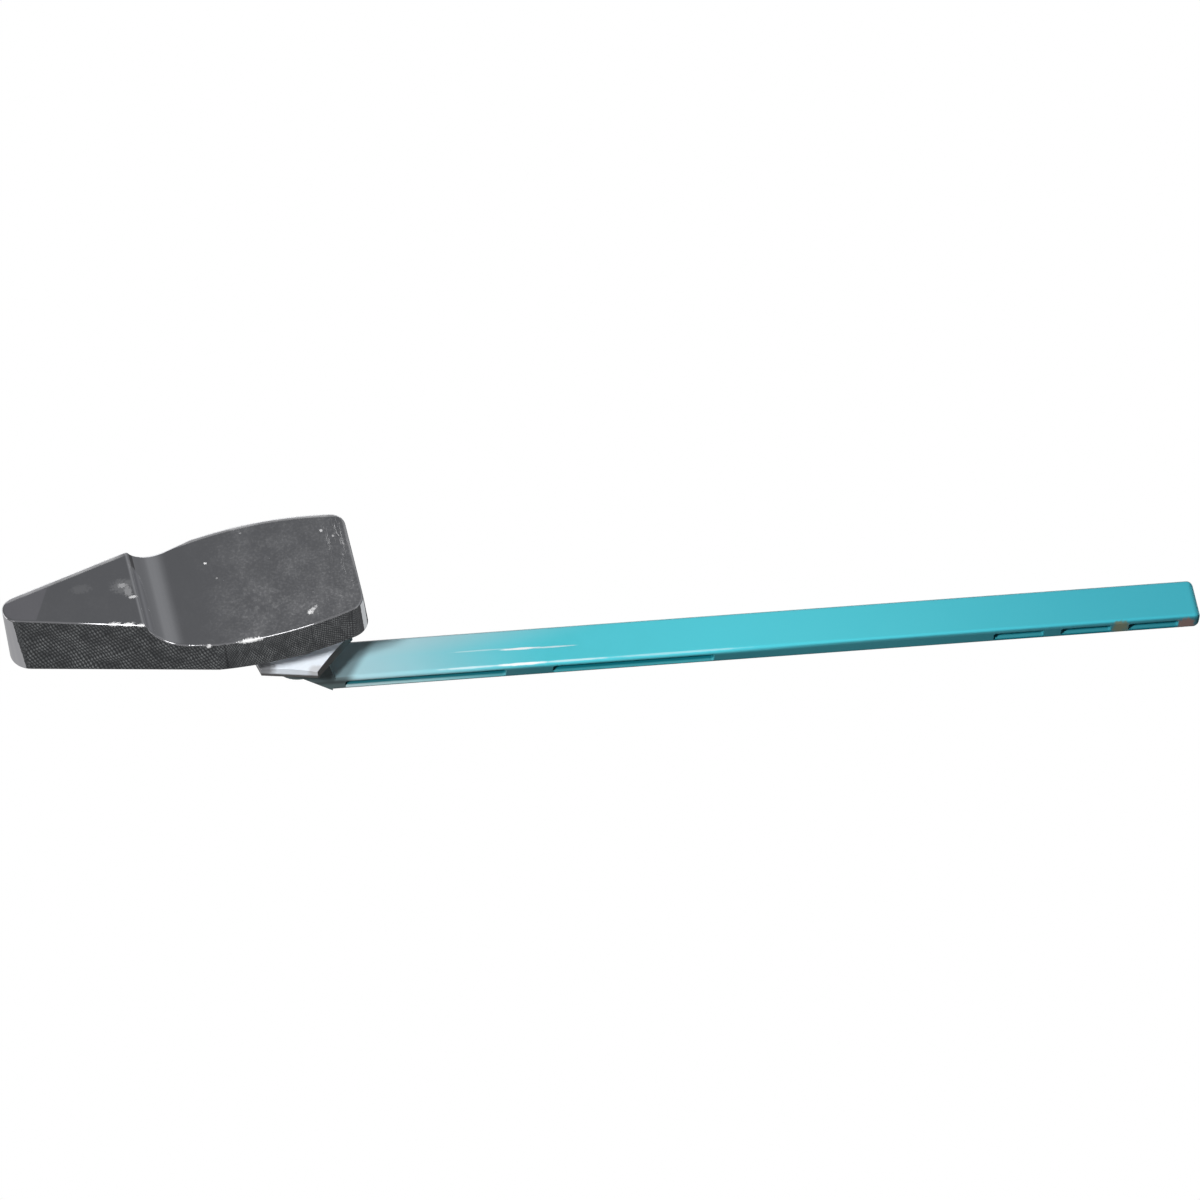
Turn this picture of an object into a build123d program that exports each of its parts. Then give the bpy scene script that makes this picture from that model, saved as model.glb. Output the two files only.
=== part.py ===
from build123d import *
import math
import os

# A front-mounted cistern lever: a plated handle outside the tank wall, a threaded bushing with a lock
# nut that clamps the wall, and a long plastic arm inside the tank whose spindle turns in the bushing.
# Frame, in millimetres: the pivot axis is the Y axis and +Y points into the tank. Y = 0 is the outer
# face of the tank wall, where the bushing's flange seats. The handle points to -X, the arm to +X, and
# +Z is up. At rest the lever lies against its stop with handle and arm level.

# Handle: seen from the front it is a tapered paddle that widens into a squarish hub
paddle_reach = 63.3
tip_radius = 5.1
shoulder_x = -19.0
hub_reach = 15.6
hub_half_width = 16.95
hub_widest_x = -7.0
hub_side_radius = 85.0
hub_corner_radius = 4.6
least_corner_radius = 0.4
hub_thickness = 8.35
paddle_rise = 5.9
paddle_tilt = 3.3
hub_tilt = 1.2
ridge_x = -33.5
ridge_round = 1.2
cove_run = 9.0
side_draft = 5.7
end_draft = 2.0
tip_lean = 1.4
handle_wall = 2.2
handle_edge_round = 0.45
rim_steepness = 0.9

# Handle: what stands in its hollow back
socket_boss_radius = 6.5
post_side = 5.6
post_length = 12.3
post_lead_in = 0.4
pilot_depth = 12.0
rib_thickness = 1.6
rib_inset = 1.2
cross_rib_pitch = 14.0
cross_rib_count = 3

# Bushing
flange_radius = 12.8
flange_thickness = 3.0
flange_edge_bevel = 0.5
collar_side = 15.5
collar_length = 3.0
collar_corner_radius = 1.5
barrel_radius = 7.5
barrel_length = 16.5
barrel_lead_in = 0.8

# Stop between the handle and the bushing
lever_travel = 30.0
stop_tab_angle = 24.0
stop_tab_length = 3.4
stop_ring_wall = 2.6
stop_ring_height = 3.6

# Lock nut
nut_across_flats = 22.0
nut_thickness = 2.8
nut_rest_y = 8.5
nut_corner_angle = -18.0
nut_bevel_height = 0.7

# Arm
spindle_radius = 5.0
root_boss_radius = 6.0
root_boss_thickness = 2.0
bar_slope = 12.25
bar_length = 203.8
bar_height = 10.6
bar_thickness = 4.0
bar_setback = 3.6
bar_edge_round = 0.9
bar_end_round = 1.4
heel_x = -1.0

# Slots through the arm, from its lower edge to its upper edge
slot_front_wall = 1.1
slot_rear_wall = 0.8
slot_corner_radius = 0.5
long_slot_start = 9.6
long_slot_length = 36.6
long_slot_pitch = 47.2
long_slot_count = 2
hook_slot_length = 11.5
hook_slot_pitch = 15.3
hook_slot_count = 3
end_wall = 4.9

# Retaining screw, driven from inside the tank through the arm's root into the handle's post
screw_radius = 1.5
screw_length = 15.5
screw_web = 4.0
screw_point = 0.8
screw_head_radius = 2.8
screw_head_height = 2.2
screw_head_round = 0.9
cross_width = 0.9
cross_length = 3.4
cross_depth = 1.2

# Clearances
spindle_clearance = 0.05
thread_clearance = 0.1
socket_clearance = 0.05
screw_clearance = 0.05
head_clearance = 0.4
flange_gap = 0.5
shoulder_gap = 0.3
boss_gap = 0.6
stop_clearance = 0.25
post_end_gap = 0.4
rib_gap = 1.5
cut_overrun = 5.0
loft_overrun = 0.5

# Places along the pivot axis that the pieces share
flange_front_y = -flange_thickness
hub_back_y = flange_front_y - flange_gap
hub_front_y = hub_back_y - hub_thickness
paddle_front_y = hub_front_y - paddle_rise
hub_floor_y = hub_front_y + handle_wall
shoulder_y = barrel_length + shoulder_gap
boss_back_y = shoulder_y + root_boss_thickness
post_end_y = hub_back_y + post_length
socket_end_y = post_end_y + post_end_gap
screw_seat_y = socket_end_y + screw_web
tip_rise = (paddle_reach + ridge_x) * math.tan(math.radians(paddle_tilt))
handle_depth = hub_thickness + paddle_rise + tip_rise + loft_overrun

# The stop: a tab on the handle's boss swings in the gap of a ring on the bushing's flange
stop_ring_inner = socket_boss_radius + boss_gap
stop_ring_outer = stop_ring_inner + stop_ring_wall
stop_tab_radius = socket_boss_radius + stop_tab_length
stop_tab_start = 90 - stop_tab_angle / 2
stop_slack = math.degrees(stop_clearance / stop_ring_inner)
stop_ring_start = 90 + stop_tab_angle / 2 + lever_travel + stop_slack
stop_ring_sweep = 360 - stop_tab_angle - lever_travel - 2 * stop_slack

# The bar's own plane: local x runs along the bar from the pivot axis and local y goes deeper
bar_turn = math.radians(bar_slope)
bar_direction = Vector(math.cos(bar_turn), math.sin(bar_turn), 0)
bar_plane = Plane(origin=(0, shoulder_y + bar_setback, 0), x_dir=bar_direction, z_dir=(0, 0, 1))
slot_width = bar_thickness - slot_front_wall - slot_rear_wall
slot_middle = slot_front_wall + slot_width / 2

to_front = (0, -1, 0)
to_tank = (0, 1, 0)

os.makedirs("parts", exist_ok=True)


def across_pivot(y):
    """Plane square to the pivot axis at depth y: local x is X and local y is Z."""
    return Plane.XZ.offset(-y)


def ring_sector(y, inner, outer, start, sweep):
    """Part of a flat ring round the pivot axis, with its angles counted from +X towards +Z."""
    with BuildSketch(across_pivot(y)) as sector:
        with BuildLine():
            far = CenterArc((0, 0), outer, start, sweep)
            near = CenterArc((0, 0), inner, start, sweep)
            Line(far @ 0, near @ 0)
            Line(far @ 1, near @ 1)
        make_face()
    return sector.sketch


def handle_outline(depth, inset):
    """Face of the handle seen from the front, at a depth before its back and inset from its sides."""
    # The sides and the hub's end draw in by their draft, but the tip leans out
    shrink = inset + depth * math.tan(math.radians(side_draft))
    reach = paddle_reach - inset + depth * math.tan(math.radians(tip_lean))
    end_x = hub_reach - inset - depth * math.tan(math.radians(end_draft))
    half_width = hub_half_width - shrink
    round_radius = tip_radius - shrink
    arc_radius = hub_side_radius - shrink
    # The straight side of the paddle leaves the tip's arc and ends on the arc of the hub's side
    arc_centre_z = half_width - arc_radius
    shoulder_z = arc_centre_z + math.sqrt(arc_radius**2 - (shoulder_x - hub_widest_x) ** 2)
    tip_centre_x = round_radius - reach
    straight = math.hypot(shoulder_x - tip_centre_x, shoulder_z)
    taper = math.atan2(shoulder_z, shoulder_x - tip_centre_x) - math.asin(round_radius / straight)
    tangent_x = tip_centre_x - round_radius * math.sin(taper)
    tangent_z = round_radius * math.cos(taper)
    end_z = arc_centre_z + math.sqrt(arc_radius**2 - (end_x - hub_widest_x) ** 2)
    with BuildSketch(across_pivot(hub_back_y - depth)) as outline:
        with BuildLine():
            tip = ThreePointArc((tangent_x, -tangent_z), (-reach, 0), (tangent_x, tangent_z))
            upper = Line(tip @ 1, (shoulder_x, shoulder_z))
            top = ThreePointArc(upper @ 1, (hub_widest_x, half_width), (end_x, end_z))
            end = Line(top @ 1, (end_x, -end_z))
            bottom = ThreePointArc(end @ 1, (hub_widest_x, -half_width), (shoulder_x, -shoulder_z))
            Line(bottom @ 1, tip @ 0)
        make_face()
        corner_radius = max(hub_corner_radius - shrink, least_corner_radius)
        fillet(outline.vertices().group_by(Axis.X)[-1], corner_radius)
    return outline.sketch


def handle_side(inset):
    """Profile of the handle seen from above, inset from its front and run past its ends and back."""
    paddle_slope = math.tan(math.radians(paddle_tilt))
    hub_turn = math.radians(hub_tilt)
    # The cove's arc runs from the ridge and is tangent to the hub's face where it ends
    cove_end = Vector(ridge_x + cove_run, hub_front_y - (ridge_x + cove_run) * math.tan(hub_turn))
    cove_rise = cove_end.Y - paddle_front_y
    lean_in = cove_run * math.sin(hub_turn) + cove_rise * math.cos(hub_turn)
    cove_radius = (cove_run**2 + cove_rise**2) / (2 * lean_in)
    out_of_hub = Vector(-math.sin(hub_turn), -math.cos(hub_turn))
    meeting = cove_end - out_of_hub * inset
    ridge_y = paddle_front_y + inset / math.cos(math.radians(paddle_tilt))
    left_x = -paddle_reach - cut_overrun
    right_x = hub_reach + cut_overrun
    back_y = hub_back_y + cut_overrun
    with BuildSketch(Plane.XY) as side:
        with BuildLine():
            Polyline(
                (meeting.X, meeting.Y),
                (meeting.X, ridge_y + (meeting.X - ridge_x) * paddle_slope),
                (left_x, ridge_y + (left_x - ridge_x) * paddle_slope),
                (left_x, back_y),
                (right_x, back_y),
                (right_x, meeting.Y - (right_x - meeting.X) * math.tan(hub_turn)),
                close=True,
            )
        make_face()
        with Locations(cove_end + out_of_hub * cove_radius):
            Circle(cove_radius + inset, mode=Mode.SUBTRACT)
        if not inset:
            ridge = side.vertices().sort_by_distance((ridge_x, paddle_front_y, 0))[0]
            fillet(ridge, ridge_round)
    return side.sketch


# Hollow of the handle, open at the back, with the same wall all round
with BuildPart() as handle_hollow:
    loft([handle_outline(0, handle_wall), handle_outline(handle_depth, handle_wall)], ruled=True)
    add(handle_side(handle_wall))
    extrude(amount=hub_half_width + cut_overrun, both=True, mode=Mode.INTERSECT)

# Ribs that stiffen the paddle: one along it and a few across, all stopping short of the back
with BuildPart() as handle_ribs:
    rib_reach = paddle_reach - stop_ring_outer - rib_gap
    with BuildSketch(across_pivot(hub_back_y - rib_inset)):
        with Locations((-paddle_reach + rib_reach / 2, 0)):
            Rectangle(rib_reach, rib_thickness)
        for i in range(cross_rib_count):
            with Locations((ridge_x + (1 - i) * cross_rib_pitch, 0)):
                Rectangle(rib_thickness, 2 * hub_half_width)
    extrude(amount=handle_depth, dir=to_front)
    add(handle_hollow.part, mode=Mode.INTERSECT)

# Handle: one plated moulding with the hub, the raised paddle, the socket boss and its square post
with BuildPart() as handle:
    loft([handle_outline(0, 0), handle_outline(handle_depth, 0)], ruled=True)
    add(handle_side(0))
    extrude(amount=hub_half_width + cut_overrun, both=True, mode=Mode.INTERSECT)
    raised = handle.edges().filter_by(lambda edge: edge.center().Y < hub_back_y - handle_edge_round)
    rim = raised.filter_by(lambda edge: abs(edge.tangent_at(0.5).Y) < rim_steepness)
    fillet(rim, handle_edge_round)
    add(handle_hollow.part, mode=Mode.SUBTRACT)
    add(handle_ribs.part)
    # The boss and the stop tab are rooted halfway through the front wall
    root_y = hub_floor_y - handle_wall / 2
    with BuildSketch(across_pivot(hub_back_y)):
        Circle(socket_boss_radius)
    extrude(amount=hub_back_y - root_y, dir=to_front)
    add(ring_sector(root_y, spindle_radius, stop_tab_radius, stop_tab_start, stop_tab_angle))
    extrude(amount=hub_back_y - root_y - flange_gap, dir=to_tank)
    with BuildSketch(across_pivot(hub_back_y - handle_wall / 2)):
        Rectangle(post_side, post_side)
    extrude(amount=post_length + handle_wall / 2, dir=to_tank)
    chamfer(handle.faces().sort_by(Axis.Y)[-1].edges(), post_lead_in)
    with BuildSketch(across_pivot(post_end_y)):
        Circle(screw_radius + screw_clearance)
    extrude(amount=pilot_depth, dir=to_front, mode=Mode.SUBTRACT)
handle.part.label = "handle"
export_step(handle.part, "parts/handle.step")

# Bushing: flange against the outer face of the tank, square collar in its hole, threaded barrel
with BuildPart() as bushing:
    with BuildSketch(across_pivot(flange_front_y)):
        Circle(flange_radius)
    extrude(amount=flange_thickness, dir=to_tank)
    chamfer(bushing.faces().sort_by(Axis.Y)[0].edges(), flange_edge_bevel)
    add(ring_sector(flange_front_y, stop_ring_inner, stop_ring_outer, stop_ring_start, stop_ring_sweep))
    extrude(amount=stop_ring_height, dir=to_front)
    with BuildSketch(across_pivot(0)):
        RectangleRounded(collar_side, collar_side, collar_corner_radius)
    extrude(amount=collar_length, dir=to_tank)
    with BuildSketch(across_pivot(0)):
        Circle(barrel_radius)
    extrude(amount=barrel_length, dir=to_tank)
    chamfer(bushing.faces().sort_by(Axis.Y)[-1].edges(), barrel_lead_in)
    with BuildSketch(across_pivot(flange_front_y)):
        Circle(spindle_radius + spindle_clearance)
    extrude(amount=flange_thickness + barrel_length, dir=to_tank, mode=Mode.SUBTRACT)
bushing.part.label = "bushing"
export_step(bushing.part, "parts/bushing.step")

# Lock nut: thin hexagon with its corners bevelled off on the face that meets the wall
with BuildPart() as lock_nut:
    nut_inner = nut_across_flats / 2
    nut_outer = nut_inner / math.cos(math.radians(30))
    nut_end_y = nut_rest_y + nut_thickness
    with BuildSketch(across_pivot(nut_rest_y)):
        RegularPolygon(nut_inner, 6, major_radius=False, rotation=nut_corner_angle)
        Circle(barrel_radius + thread_clearance, mode=Mode.SUBTRACT)
    extrude(amount=nut_thickness, dir=to_tank)
    with BuildSketch(Plane.XY):
        with BuildLine():
            Polyline(
                (0, nut_rest_y),
                (nut_inner, nut_rest_y),
                (nut_outer, nut_rest_y + nut_bevel_height),
                (nut_outer, nut_end_y),
                (0, nut_end_y),
                close=True,
            )
        make_face()
    revolve(axis=Axis.Y, mode=Mode.INTERSECT)
lock_nut.part.label = "lock_nut"
export_step(lock_nut.part, "parts/lock_nut.step")

# Arm: one moulding with the spindle, its thrust boss, the mitred heel and the slotted bar
with BuildPart() as arm:
    with BuildSketch(across_pivot(hub_back_y)):
        Circle(spindle_radius)
    extrude(amount=shoulder_y - hub_back_y, dir=to_tank)
    with BuildSketch(across_pivot(shoulder_y)):
        Circle(root_boss_radius)
    extrude(amount=root_boss_thickness, dir=to_tank)
    # The heel rises at 45 degrees from the back of the boss to the back of the bar
    bar_back_y = shoulder_y + bar_setback + bar_thickness / math.cos(bar_turn)
    heel_rise = (bar_back_y + heel_x * math.tan(bar_turn) - boss_back_y) / (1 - math.tan(bar_turn))
    heel_top = Vector(heel_x + heel_rise, boss_back_y + heel_rise, 0)
    bar_start = bar_plane.to_local_coords(heel_top).X
    with BuildSketch(Plane.XY):
        with BuildLine():
            Polyline(
                (heel_x, shoulder_y),
                (root_boss_radius, shoulder_y),
                bar_plane.from_local_coords((bar_start, 0)),
                heel_top,
                (heel_x, boss_back_y),
                close=True,
            )
        make_face()
    extrude(amount=bar_height / 2, both=True)
    section_origin = bar_plane.from_local_coords((bar_start, bar_thickness / 2))
    section_plane = Plane(origin=section_origin, x_dir=bar_plane.y_dir, z_dir=bar_plane.x_dir)
    with BuildSketch(section_plane):
        RectangleRounded(bar_thickness, bar_height, bar_edge_round)
    extrude(amount=bar_length - bar_start)
    end_uprights = arm.faces().sort_by(Axis.X)[-1].edges().filter_by(Axis.Z).sort_by(Axis.Y)
    fillet(end_uprights[-1], bar_end_round)
    with BuildSketch(bar_plane):
        for i in range(long_slot_count):
            with Locations((long_slot_start + i * long_slot_pitch + long_slot_length / 2, slot_middle)):
                RectangleRounded(long_slot_length, slot_width, slot_corner_radius)
        for i in range(hook_slot_count):
            last_middle = bar_length - end_wall - hook_slot_length / 2
            with Locations((last_middle - i * hook_slot_pitch, slot_middle)):
                RectangleRounded(hook_slot_length, slot_width, slot_corner_radius)
    extrude(amount=bar_height, both=True, mode=Mode.SUBTRACT)
    with BuildSketch(across_pivot(hub_back_y)):
        Rectangle(post_side + 2 * socket_clearance, post_side + 2 * socket_clearance)
    extrude(amount=socket_end_y - hub_back_y, dir=to_tank, mode=Mode.SUBTRACT)
    with BuildSketch(across_pivot(socket_end_y)):
        Circle(screw_radius + screw_clearance)
    extrude(amount=screw_web, dir=to_tank, mode=Mode.SUBTRACT)
    with BuildSketch(across_pivot(screw_seat_y)):
        Circle(screw_head_radius + head_clearance)
    extrude(amount=heel_top.Y - screw_seat_y, dir=to_tank, mode=Mode.SUBTRACT)
arm.part.label = "arm"
export_step(arm.part, "parts/arm.step")

# Retaining screw: round head with a cross recess, seated at the bottom of the arm's counterbore
with BuildPart() as screw:
    with BuildSketch(across_pivot(screw_seat_y)):
        Circle(screw_head_radius)
    extrude(amount=screw_head_height, dir=to_tank)
    fillet(screw.faces().sort_by(Axis.Y)[-1].edges(), screw_head_round)
    with BuildSketch(across_pivot(screw_seat_y)):
        Circle(screw_radius)
    extrude(amount=screw_length, dir=to_front)
    chamfer(screw.faces().sort_by(Axis.Y)[0].edges(), screw_point)
    with BuildSketch(across_pivot(screw_seat_y + screw_head_height)):
        Rectangle(cross_length, cross_width)
        Rectangle(cross_width, cross_length)
    extrude(amount=cross_depth, dir=to_front, mode=Mode.SUBTRACT)
screw.part.label = "screw"
export_step(screw.part, "parts/screw.step")
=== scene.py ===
import math

import bmesh
import bpy
from mathutils import Matrix, Vector


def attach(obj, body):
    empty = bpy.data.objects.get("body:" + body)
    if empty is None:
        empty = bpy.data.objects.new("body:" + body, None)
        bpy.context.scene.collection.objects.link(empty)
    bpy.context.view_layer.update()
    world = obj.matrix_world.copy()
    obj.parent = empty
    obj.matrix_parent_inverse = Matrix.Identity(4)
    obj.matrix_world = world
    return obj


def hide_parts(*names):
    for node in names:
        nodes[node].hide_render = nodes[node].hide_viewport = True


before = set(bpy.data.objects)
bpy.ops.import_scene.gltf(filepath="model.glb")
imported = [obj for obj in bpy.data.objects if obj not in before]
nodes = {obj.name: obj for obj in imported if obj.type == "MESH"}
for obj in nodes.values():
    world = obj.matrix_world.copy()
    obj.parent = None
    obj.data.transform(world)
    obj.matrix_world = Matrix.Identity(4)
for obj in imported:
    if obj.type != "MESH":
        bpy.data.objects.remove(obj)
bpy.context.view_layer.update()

MM = 0.001


# Shader helpers

# Sockets of Blender's Mix node when it mixes colours
MIX_SHARE, MIX_UNDER, MIX_OVER, MIX_RESULT = 0, 6, 7, 2


def put(tree, kind, inputs=None, **settings):
    """Adds a node with its settings; each input takes a value or another node's output."""
    made = tree.nodes.new(kind)
    for name, value in settings.items():
        setattr(made, name, value)
    for name, value in (inputs or {}).items():
        if isinstance(value, bpy.types.NodeSocket):
            tree.links.new(value, made.inputs[name])
        else:
            made.inputs[name].default_value = value
    return made


def reckon(tree, operation, first, second=0.0):
    """One sum on two values."""
    return put(tree, "ShaderNodeMath", {0: first, 1: second}, operation=operation).outputs[0]


def reckon_vector(tree, operation, first, second=(0.0, 0.0, 0.0)):
    """One sum on two vectors, with the outputs Vector and Value."""
    return put(tree, "ShaderNodeVectorMath", {0: first, 1: second}, operation=operation).outputs


def product(tree, first, *others):
    """Several values multiplied together."""
    for other in others:
        first = reckon(tree, "MULTIPLY", first, other)
    return first


def most(tree, first, *others):
    """The greatest of several values."""
    for other in others:
        first = reckon(tree, "MAXIMUM", first, other)
    return first


def fade(tree, value, start, end, low=0.0, high=1.0):
    """Smooth step of a value from low at start to high at end."""
    step = put(
        tree,
        "ShaderNodeMapRange",
        {"Value": value, "From Min": start, "From Max": end, "To Min": low, "To Max": high},
        interpolation_type="SMOOTHSTEP",
    )
    return step.outputs["Result"]


def spread(tree, share, low, high):
    """A value from low to high by a share from 0 to 1."""
    return fade(tree, share, 0.0, 1.0, low, high)


def tint(tree, share, under, over, blend="MIX"):
    """Lays one colour over another by a share from 0 to 1."""
    inputs = {MIX_SHARE: share, MIX_UNDER: under, MIX_OVER: over}
    mix = put(tree, "ShaderNodeMix", inputs, data_type="RGBA", blend_type=blend)
    return mix.outputs[MIX_RESULT]


def darken(tree, share, under, factor):
    """Multiplies a colour by a factor, by a share from 0 to 1."""
    return tint(tree, share, under, factor, blend="MULTIPLY")


def noise(tree, place, inputs):
    return put(tree, "ShaderNodeTexNoise", {"Vector": place, "Scale": 1.0, **inputs}).outputs[0]


def millimetres(tree):
    """Place on the piece in millimetres, which moves with it."""
    place = put(tree, "ShaderNodeTexCoord").outputs["Object"]
    return put(tree, "ShaderNodeVectorMath", {0: place, "Scale": 1 / MM}, operation="SCALE").outputs[0]


def axes(tree, vector):
    """A vector's X, Y and Z."""
    return put(tree, "ShaderNodeSeparateXYZ", {0: vector}).outputs


def facing_way(tree):
    """Which way the surface faces on its piece, as X, Y and Z."""
    return axes(tree, put(tree, "ShaderNodeTexCoord").outputs["Normal"])


def start_group(name, inputs, output):
    """A shared effect: inputs are (name, default) pairs and the one output is a value."""
    group = bpy.data.node_groups.new(name, "ShaderNodeTree")
    for label, value in inputs:
        kind = "NodeSocketVector" if isinstance(value, tuple) else "NodeSocketFloat"
        socket = group.interface.new_socket(label, in_out="INPUT", socket_type=kind)
        socket.default_value = value
    group.interface.new_socket(output, in_out="OUTPUT", socket_type="NodeSocketFloat")
    return group, put(group, "NodeGroupInput").outputs, put(group, "NodeGroupOutput").inputs


def use(tree, group, inputs):
    """Places a shared effect with its own values."""
    return put(tree, "ShaderNodeGroup", inputs, node_tree=group).outputs[0]


def empty_tree(owner):
    """The node tree of a material or a world, with nothing in it yet."""
    owner.use_nodes = True
    owner.node_tree.nodes.clear()
    return owner.node_tree


def show(tree, shader, output="ShaderNodeOutputMaterial"):
    tree.links.new(shader.outputs[0], put(tree, output).inputs["Surface"])


def start_material(name):
    material = bpy.data.materials.new(name)
    tree = empty_tree(material)
    shader = put(tree, "ShaderNodeBsdfPrincipled")
    show(tree, shader)
    return material, tree, shader


def colour(red, green, blue):
    """Linear colour of an sRGB one given from 0 to 255."""
    def straighten(value):
        value = value / 255
        return value / 12.92 if value <= 0.04045 else ((value + 0.055) / 1.055) ** 2.4
    return (straighten(red), straighten(green), straighten(blue), 1.0)


# Shared effects

NOISE_MIDDLE = 0.5


def make_dust_specks():
    """Round specks of dust, at most one in each cell and only on a share of the cells."""
    group, given, result = start_group(
        "dust_specks", [("Spacing", 3.0), ("Size", 0.15), ("Share", 0.4)], "Mask"
    )
    place = reckon_vector(group, "DIVIDE", millimetres(group), given["Spacing"])["Vector"]
    cells = put(group, "ShaderNodeTexVoronoi", {"Vector": place, "Scale": 1.0}).outputs
    pick = put(group, "ShaderNodeSeparateColor", {0: cells["Color"]}).outputs
    reach = product(group, given["Size"], pick["Green"])
    inside = reckon(group, "LESS_THAN", cells["Distance"], reach)
    chosen = reckon(group, "LESS_THAN", pick["Red"], given["Share"])
    group.links.new(product(group, inside, chosen), result["Mask"])
    return group


def make_smudges():
    """Soft clouds, clear below the low level of the noise and full above the high one."""
    group, given, result = start_group(
        "smudges", [("Size", 10.0), ("Low", 0.45), ("High", 0.7), ("Warp", 0.6)], "Mask"
    )
    place = reckon_vector(group, "DIVIDE", millimetres(group), given["Size"])["Vector"]
    cloud = noise(group, place, {"Detail": 6.0, "Roughness": 0.6, "Distortion": given["Warp"]})
    group.links.new(fade(group, cloud, given["Low"], given["High"]), result["Mask"])
    return group


def make_local_patch():
    """A soft-edged patch round one place on a piece, broken up by noise."""
    edge, core, widest_swing = 1.0, 0.45, 3.0
    group, given, result = start_group(
        "local_patch",
        [("Centre", (0.0, 0.0, 0.0)), ("Reach", (5.0, 5.0, 5.0)), ("Grain", 1.5), ("Breakup", 0.6)],
        "Mask",
    )
    place = millimetres(group)
    offset = reckon_vector(group, "SUBTRACT", place, given["Centre"])["Vector"]
    share = reckon_vector(group, "DIVIDE", offset, given["Reach"])["Vector"]
    distance = reckon_vector(group, "LENGTH", share)["Value"]
    grain_place = reckon_vector(group, "DIVIDE", place, given["Grain"])["Vector"]
    grain = noise(group, grain_place, {"Detail": 4.0})
    swing = product(group, reckon(group, "SUBTRACT", grain, NOISE_MIDDLE), given["Breakup"], widest_swing)
    ragged = reckon(group, "ADD", distance, swing)
    group.links.new(fade(group, ragged, edge, core), result["Mask"])
    return group


def make_fine_scratches():
    """Thin lines where a stretched noise crosses its middle, kept only in places."""
    group, given, result = start_group(
        "fine_scratches", [("Across", (0.5, 3.0, 6.0)), ("Width", 0.02), ("Share", 0.5)], "Mask"
    )
    place = reckon_vector(group, "DIVIDE", millimetres(group), given["Across"])["Vector"]
    lines = noise(group, place, {"Detail": 2.0, "Distortion": 0.3})
    off_line = reckon(group, "ABSOLUTE", reckon(group, "SUBTRACT", lines, NOISE_MIDDLE))
    on_line = reckon(group, "LESS_THAN", off_line, given["Width"])
    patchy = noise(group, place, {"Scale": 0.37, "Detail": 1.0})
    kept = reckon(group, "LESS_THAN", patchy, given["Share"])
    group.links.new(product(group, on_line, kept), result["Mask"])
    return group


def make_moulded_grain():
    """Height of a moulded skin: a fine grain on a wide, shallow ripple."""
    ripple_weight = 4.0
    group, given, result = start_group("moulded_grain", [("Size", 0.4), ("Ripple", 6.0)], "Height")
    place = millimetres(group)
    fine_place = reckon_vector(group, "DIVIDE", place, given["Size"])["Vector"]
    wide_place = reckon_vector(group, "DIVIDE", place, given["Ripple"])["Vector"]
    fine = noise(group, fine_place, {"Detail": 3.0})
    wide = noise(group, wide_place, {"Detail": 1.0})
    height = reckon(group, "ADD", fine, product(group, wide, ripple_weight))
    group.links.new(height, result["Height"])
    return group


dust_specks = make_dust_specks()
smudges = make_smudges()
local_patch = make_local_patch()
fine_scratches = make_fine_scratches()
moulded_grain = make_moulded_grain()


# Chrome plating on the handle

PLATE = colour(222, 222, 224)
PLATE_SHADE_LINE = colour(180, 181, 183)
# White of the dust, also used for painted highlights and painted light on the plating
DUST_AND_HIGHLIGHT = colour(243, 243, 243)
PLATE_ROUGHNESS = (0.025, 0.1)

# How much each kind of dust, wear and painted light hides of the plating
VEIL_STRENGTH = (0.012, 0.05)
HAZE_STRENGTH = 0.14
SPECK_STRENGTH = 0.3
GRIT_STRENGTH = 0.2
SCRATCH_STRENGTH = 0.35
EDGE_HIGHLIGHT_STRENGTH = (0.22, 0.36)
END_HIGHLIGHT_SHARE = 0.5
HOLLOW_BACK_LIGHT_STRENGTH = 0.4

# The handle's upper edges, seen along the pivot axis and in millimetres: the paddle's straight edge, by its
# inward direction and its distance from the axis, and the hub's arc
PADDLE_EDGE_INWARD, PADDLE_EDGE_DISTANCE = (0.262, 0.0, -0.966), 19.23
HUB_ARC_CENTRE, HUB_ARC_RADIUS = (-7.0, 0.0, -68.05), 84.17

# Where a painted shade line crosses the handle's lower wall, at the turn from the paddle's flat wall to the
# hub's curve, in millimetres
SHADE_LINE_X = -17.1

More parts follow.
